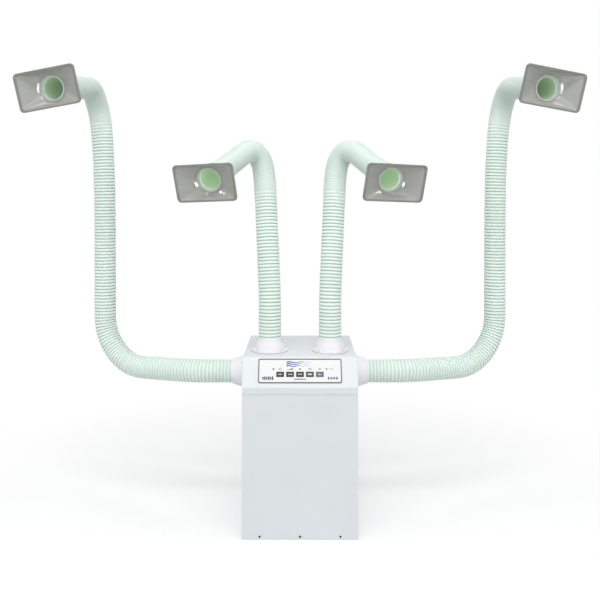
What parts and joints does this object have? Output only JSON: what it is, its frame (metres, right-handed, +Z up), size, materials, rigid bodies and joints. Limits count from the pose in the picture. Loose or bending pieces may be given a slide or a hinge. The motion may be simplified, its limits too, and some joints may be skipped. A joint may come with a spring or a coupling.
{
  "type": "local exhaust ventilation system",
  "caption": "Floor-standing fume extraction cabinet with a sloped key panel and self-supporting ribbed hoses that end in shallow rectangular hoods.",
  "frame": {"origin": "on the floor, under the middle of the cabinet", "axes": "+Z up, the front of the cabinet faces -Y, +X to the right seen from the front"},
  "size_m": [1.9234, 0.5487, 1.6399],
  "materials": {
    "cabinet_paint": "satin powder coat, light grey",
    "black_screw": "blackened",
    "steel_screw": "plated",
    "black_plastic": "moulded",
    "collar_plastic": "moulded, white",
    "seal_rubber": "soft",
    "fascia_film": "printed film, white",
    "fascia_border": "dark border",
    "key_brown": "brown-grey key",
    "key_blue": "blue-grey key",
    "board_laminate": "green circuit board",
    "brass": "turned",
    "led_lens": "dark lens",
    "galvanised": "zinc coated",
    "motor_aluminium": "cast",
    "filter_board": "filter frame board",
    "carbon": "activated carbon",
    "filter_fleece": "white fleece",
    "filter_paper": "pleated paper",
    "hose_pvc": "pale mint green, ribbed",
    "cuff_plastic": "moulded, white",
    "hood_plastic": "glossy smoke grey"
  },
  "bodies": {
    "cabinet": {"base_pan": "cabinet_paint", "front_panel": "cabinet_paint", "left_side_panel": "cabinet_paint", "right_side_panel": "cabinet_paint", "rear_panel": "cabinet_paint", "top_cover": "cabinet_paint", "front_panel_screws": "black_screw", "exhaust_grille": "cabinet_paint", "grille_screws": "steel_screw", "power_inlet": "black_plastic", "inlet_screws": "steel_screw", "collar_top_left": "collar_plastic", "collar_top_right": "collar_plastic", "collar_side_left": "collar_plastic", "collar_side_right": "collar_plastic", "collar_seals": "seal_rubber", "collar_screws": "steel_screw", "control_fascia": "fascia_film", "fascia_frame": "fascia_border", "control_board": "board_laminate", "board_standoffs": "brass", "key_switches": "black_plastic", "indicator_leds": "led_lens", "board_shield": "black_plastic", "deck_angles": "galvanised", "filter_rails": "galvanised", "blower_deck": "galvanised", "inlet_ring": "galvanised", "motor_plate": "galvanised", "motor_posts": "galvanised", "motor": "motor_aluminium", "carbon_frame": "filter_board", "carbon_bed": "carbon", "hepa_frame": "filter_board", "filter_seal": "seal_rubber", "prefilter_frame": "filter_board", "prefilter_pad": "filter_fleece", "hepa_pleats": "filter_paper", "plenum_frame": "galvanised"},
    "key_power": {"key_power": "key_brown"},
    "key_speed_down": {"key_speed_down": "key_brown"},
    "key_speed_up": {"key_speed_up": "key_brown"},
    "key_timer": {"key_timer": "key_brown"},
    "key_filter_reset": {"key_filter_reset": "key_blue"},
    "impeller": {"impeller": "black_plastic"},
    "outer_left_arm": {"outer_left_hose": "hose_pvc"},
    "outer_left_neck": {"outer_left_cuff": "cuff_plastic"},
    "outer_left_hood": {"outer_left_hood": "hood_plastic"},
    "inner_left_arm": {"inner_left_hose": "hose_pvc"},
    "inner_left_neck": {"inner_left_cuff": "cuff_plastic"},
    "inner_left_hood": {"inner_left_hood": "hood_plastic"},
    "outer_right_arm": {"outer_right_hose": "hose_pvc"},
    "outer_right_neck": {"outer_right_cuff": "cuff_plastic"},
    "outer_right_hood": {"outer_right_hood": "hood_plastic"},
    "inner_right_arm": {"inner_right_hose": "hose_pvc"},
    "inner_right_neck": {"inner_right_cuff": "cuff_plastic"},
    "inner_right_hood": {"inner_right_hood": "hood_plastic"}
  },
  "joints": [
    {"name": "key_power_press", "type": "slide", "parent": "cabinet", "child": "key_power", "axis": [0, 0.8279, -0.5608], "range_m": [0, 0.0008], "stiffness_N_per_m": 900},
    {"name": "key_speed_down_press", "type": "slide", "parent": "cabinet", "child": "key_speed_down", "axis": [0, 0.8279, -0.5608], "range_m": [0, 0.0008], "stiffness_N_per_m": 900},
    {"name": "key_speed_up_press", "type": "slide", "parent": "cabinet", "child": "key_speed_up", "axis": [0, 0.8279, -0.5608], "range_m": [0, 0.0008], "stiffness_N_per_m": 900},
    {"name": "key_timer_press", "type": "slide", "parent": "cabinet", "child": "key_timer", "axis": [0, 0.8279, -0.5608], "range_m": [0, 0.0008], "stiffness_N_per_m": 900},
    {"name": "key_filter_reset_press", "type": "slide", "parent": "cabinet", "child": "key_filter_reset", "axis": [0, 0.8279, -0.5608], "range_m": [0, 0.0008], "stiffness_N_per_m": 900},
    {"name": "impeller_spin", "type": "hinge", "parent": "cabinet", "child": "impeller", "pos_m": [0, 0, 0.194], "axis": [0, 0, 1], "continuous": true},
    {"name": "outer_left_swing", "type": "hinge", "parent": "cabinet", "child": "outer_left_arm", "pos_m": [-0.2173, -0.054, 0.539], "axis": [1, 0, 0], "range_deg": [-25, 55]},
    {"name": "outer_left_bend", "type": "hinge", "parent": "outer_left_arm", "child": "outer_left_neck", "pos_m": [-0.79721, 0.07067, 1.51799], "axis": [-0.9907, 0.1288, -0.0433], "range_deg": [-35, 35], "deforming": ["outer_left_hose"]},
    {"name": "outer_left_hood_turn", "type": "hinge", "parent": "outer_left_neck", "child": "outer_left_hood", "pos_m": [-0.84007, -0.24964, 1.54607], "axis": [-0.1203, -0.9795, -0.1616], "continuous": true},
    {"name": "inner_left_swing", "type": "hinge", "parent": "cabinet", "child": "inner_left_arm", "pos_m": [-0.1105, -0.054, 0.6323], "axis": [0, 0, 1], "range_deg": [-75, 20]},
    {"name": "inner_left_bend", "type": "hinge", "parent": "inner_left_arm", "child": "inner_left_neck", "pos_m": [-0.18137, -0.02929, 1.2796], "axis": [-0.6369, 0.7591, -0.1346], "range_deg": [-20, 40], "deforming": ["inner_left_hose"]},
    {"name": "inner_left_hood_turn", "type": "hinge", "parent": "inner_left_neck", "child": "inner_left_hood", "pos_m": [-0.31, -0.23495, 1.2361], "axis": [-0.2629, -0.9168, -0.3007], "continuous": true},
    {"name": "outer_right_swing", "type": "hinge", "parent": "cabinet", "child": "outer_right_arm", "pos_m": [0.2173, -0.054, 0.539], "axis": [1, 0, 0], "range_deg": [-25, 55]},
    {"name": "outer_right_bend", "type": "hinge", "parent": "outer_right_arm", "child": "outer_right_neck", "pos_m": [0.79721, 0.07067, 1.51799], "axis": [-0.9907, -0.1288, 0.0433], "range_deg": [-35, 35], "deforming": ["outer_right_hose"]},
    {"name": "outer_right_hood_turn", "type": "hinge", "parent": "outer_right_neck", "child": "outer_right_hood", "pos_m": [0.84007, -0.24964, 1.54607], "axis": [0.1203, -0.9795, -0.1616], "continuous": true},
    {"name": "inner_right_swing", "type": "hinge", "parent": "cabinet", "child": "inner_right_arm", "pos_m": [0.1105, -0.054, 0.6323], "axis": [0, 0, 1], "range_deg": [-20, 75]},
    {"name": "inner_right_bend", "type": "hinge", "parent": "inner_right_arm", "child": "inner_right_neck", "pos_m": [0.18137, -0.02929, 1.2796], "axis": [-0.6369, -0.7591, 0.1346], "range_deg": [-20, 40], "deforming": ["inner_right_hose"]},
    {"name": "inner_right_hood_turn", "type": "hinge", "parent": "inner_right_neck", "child": "inner_right_hood", "pos_m": [0.31, -0.23495, 1.2361], "axis": [0.2629, -0.9168, -0.3007], "continuous": true}
  ]
}
